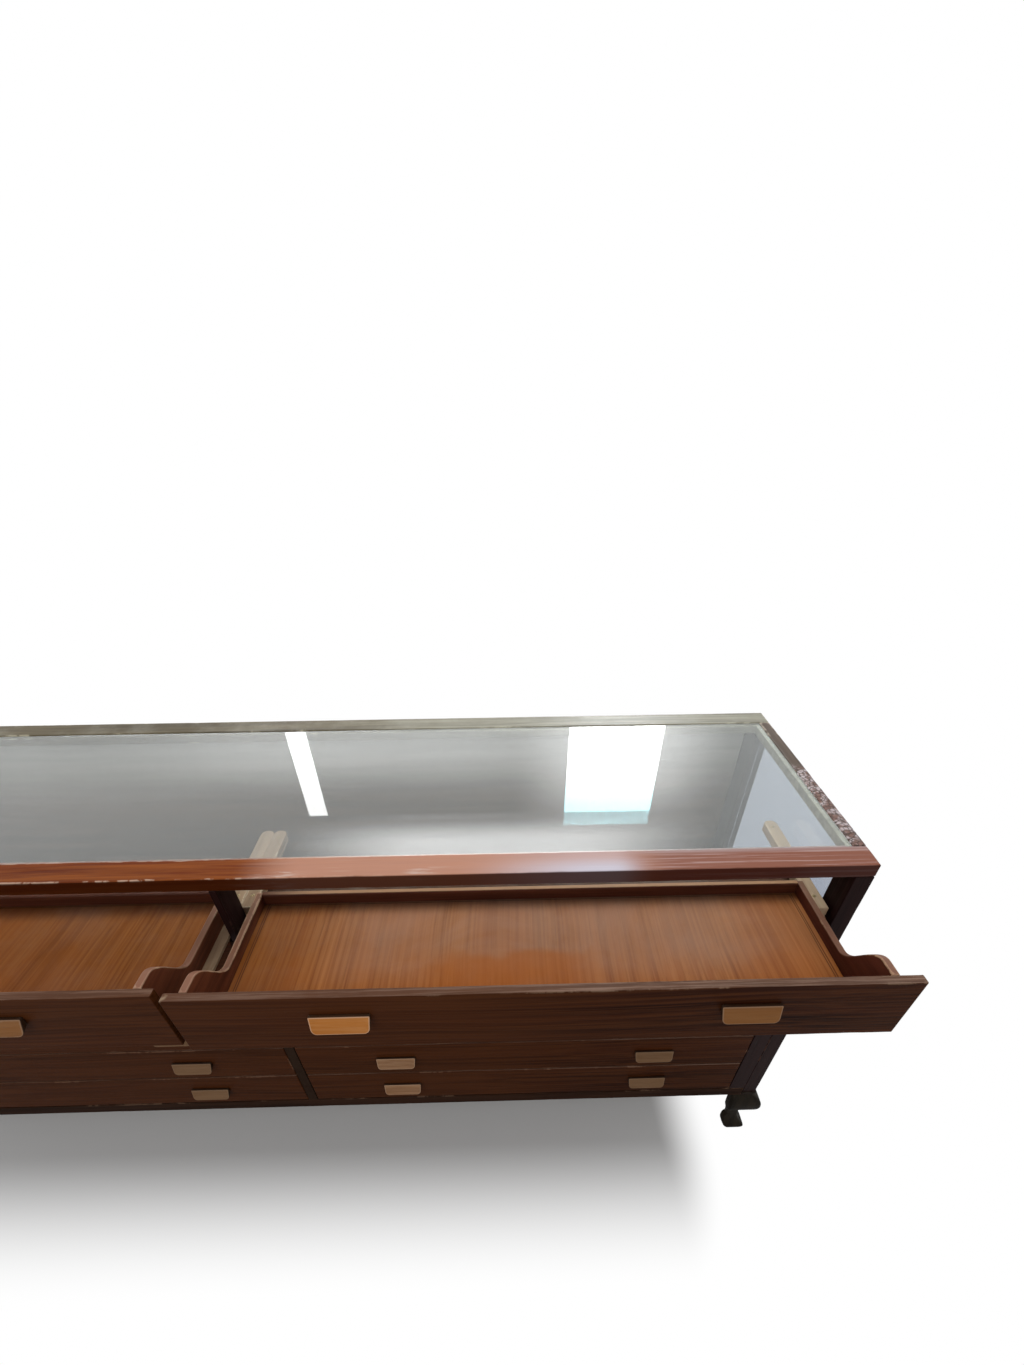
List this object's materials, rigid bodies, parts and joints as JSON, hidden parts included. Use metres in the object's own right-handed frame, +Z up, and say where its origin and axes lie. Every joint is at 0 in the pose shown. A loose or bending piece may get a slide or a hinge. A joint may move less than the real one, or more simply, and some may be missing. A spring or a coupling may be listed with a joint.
{
  "type": "haberdashery cabinet",
  "caption": "Glass-topped shop counter cabinet with pull-out display trays above bays of shallow drawers, on short shaped feet.",
  "frame": {"origin": "on the floor, at the middle of the width and of the depth with the trays pulled out as stored", "axes": "+X to the right seen from the front, +Y to the back, +Z up; the drawers pull out along -Y"},
  "size_m": [2.184, 0.7566, 0.92],
  "materials": {
    "rail_wood": "worn varnished mahogany",
    "carcass_wood": "dark stained mahogany",
    "front_wood": "dark varnished mahogany",
    "tray_side_wood": "varnished mahogany",
    "tray_veneer": "satin mahogany veneer",
    "guide_wood": "bare pale wood",
    "inner_wood": "bare softwood",
    "foot_wood": "near-black stained wood",
    "top_glass": "clear",
    "pane_glass": "clear"
  },
  "bodies": {
    "carcass": {"top_front_rail": "rail_wood", "top_rear_rail": "rail_wood", "top_end_rail_left": "rail_wood", "top_end_rail_right": "rail_wood", "top_glass": "top_glass", "front_post_left": "carcass_wood", "front_post_right": "carcass_wood", "rear_post_left": "carcass_wood", "rear_post_right": "carcass_wood", "centre_post": "carcass_wood", "end_glass_left": "pane_glass", "end_glass_right": "pane_glass", "bay_back": "inner_wood", "end_panel_left": "carcass_wood", "end_panel_right": "carcass_wood", "back_panel": "carcass_wood", "display_floor": "inner_wood", "face_frame": "carcass_wood", "bottom_board": "inner_wood", "centre_partition": "inner_wood", "lining_left": "inner_wood", "lining_right": "inner_wood", "foot_front_left": "foot_wood", "foot_front_right": "foot_wood", "foot_rear_left": "foot_wood", "foot_rear_right": "foot_wood", "guide_bar_centre_left": "guide_wood", "guide_bar_centre_right": "guide_wood", "guide_bar_end_left": "guide_wood", "guide_bar_end_right": "guide_wood"},
    "left_tray": {"left_tray_front": "front_wood", "left_tray_centre_side": "tray_side_wood", "left_tray_end_side": "tray_side_wood", "left_tray_back": "tray_side_wood", "left_tray_bottom": "tray_veneer"},
    "right_tray": {"right_tray_front": "front_wood", "right_tray_centre_side": "tray_side_wood", "right_tray_end_side": "tray_side_wood", "right_tray_back": "tray_side_wood", "right_tray_bottom": "tray_veneer"},
    "left_drawer_1": {"left_drawer_1_front": "front_wood", "left_drawer_1_box": "inner_wood"},
    "right_drawer_1": {"right_drawer_1_front": "front_wood", "right_drawer_1_box": "inner_wood"},
    "left_drawer_2": {"left_drawer_2_front": "front_wood", "left_drawer_2_box": "inner_wood"},
    "right_drawer_2": {"right_drawer_2_front": "front_wood", "right_drawer_2_box": "inner_wood"},
    "left_drawer_3": {"left_drawer_3_front": "front_wood", "left_drawer_3_box": "inner_wood"},
    "right_drawer_3": {"right_drawer_3_front": "front_wood", "right_drawer_3_box": "inner_wood"},
    "left_drawer_4": {"left_drawer_4_front": "front_wood", "left_drawer_4_box": "inner_wood"},
    "right_drawer_4": {"right_drawer_4_front": "front_wood", "right_drawer_4_box": "inner_wood"},
    "left_drawer_5": {"left_drawer_5_front": "front_wood", "left_drawer_5_box": "inner_wood"},
    "right_drawer_5": {"right_drawer_5_front": "front_wood", "right_drawer_5_box": "inner_wood"}
  },
  "joints": [
    {"name": "left_tray_slide", "type": "slide", "parent": "carcass", "child": "left_tray", "axis": [0, -1, 0], "range_m": [-0.196, 0.024]},
    {"name": "right_tray_slide", "type": "slide", "parent": "carcass", "child": "right_tray", "axis": [0, -1, 0], "range_m": [-0.2046, 0.0154]},
    {"name": "left_drawer_1_slide", "type": "slide", "parent": "carcass", "child": "left_drawer_1", "axis": [0, -1, 0], "range_m": [0, 0.12]},
    {"name": "right_drawer_1_slide", "type": "slide", "parent": "carcass", "child": "right_drawer_1", "axis": [0, -1, 0], "range_m": [0, 0.12]},
    {"name": "left_drawer_2_slide", "type": "slide", "parent": "carcass", "child": "left_drawer_2", "axis": [0, -1, 0], "range_m": [0, 0.12]},
    {"name": "right_drawer_2_slide", "type": "slide", "parent": "carcass", "child": "right_drawer_2", "axis": [0, -1, 0], "range_m": [0, 0.12]},
    {"name": "left_drawer_3_slide", "type": "slide", "parent": "carcass", "child": "left_drawer_3", "axis": [0, -1, 0], "range_m": [0, 0.12]},
    {"name": "right_drawer_3_slide", "type": "slide", "parent": "carcass", "child": "right_drawer_3", "axis": [0, -1, 0], "range_m": [0, 0.12]},
    {"name": "left_drawer_4_slide", "type": "slide", "parent": "carcass", "child": "left_drawer_4", "axis": [0, -1, 0], "range_m": [0, 0.12]},
    {"name": "right_drawer_4_slide", "type": "slide", "parent": "carcass", "child": "right_drawer_4", "axis": [0, -1, 0], "range_m": [0, 0.12]},
    {"name": "left_drawer_5_slide", "type": "slide", "parent": "carcass", "child": "left_drawer_5", "axis": [0, -1, 0], "range_m": [0, 0.12]},
    {"name": "right_drawer_5_slide", "type": "slide", "parent": "carcass", "child": "right_drawer_5", "axis": [0, -1, 0], "range_m": [0, 0.12]}
  ]
}
